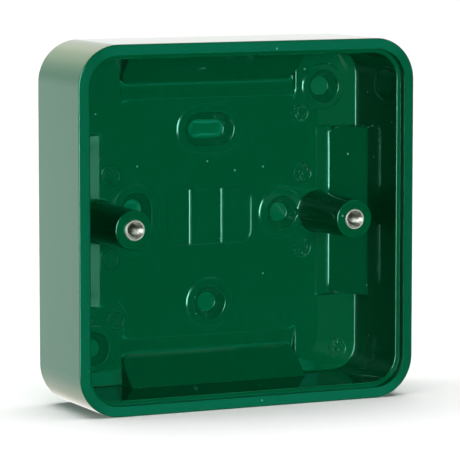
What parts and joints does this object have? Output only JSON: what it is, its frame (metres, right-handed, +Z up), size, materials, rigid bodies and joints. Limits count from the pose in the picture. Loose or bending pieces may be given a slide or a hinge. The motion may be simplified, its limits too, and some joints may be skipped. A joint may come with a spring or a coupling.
{
  "type": "manual call point surface back box",
  "caption": "Square open-fronted surface back box for a manual call point, with screw pillars, threaded inserts, closed wall fixings and cable-entry ramps.",
  "frame": {"origin": "centre of the rear face, which lies against the wall", "axes": "+Y into the wall, so the open front faces -Y; +Z up when mounted; +X to the right for a person facing the box"},
  "size_m": [0.091, 0.027, 0.091],
  "materials": {
    "green_plastic": "injection-moulded, high gloss",
    "nickel": "nickel-plated brass"
  },
  "bodies": {
    "root": {"back_box": "green_plastic", "threaded_insert_left": "nickel", "threaded_insert_right": "nickel"}
  },
  "joints": []
}
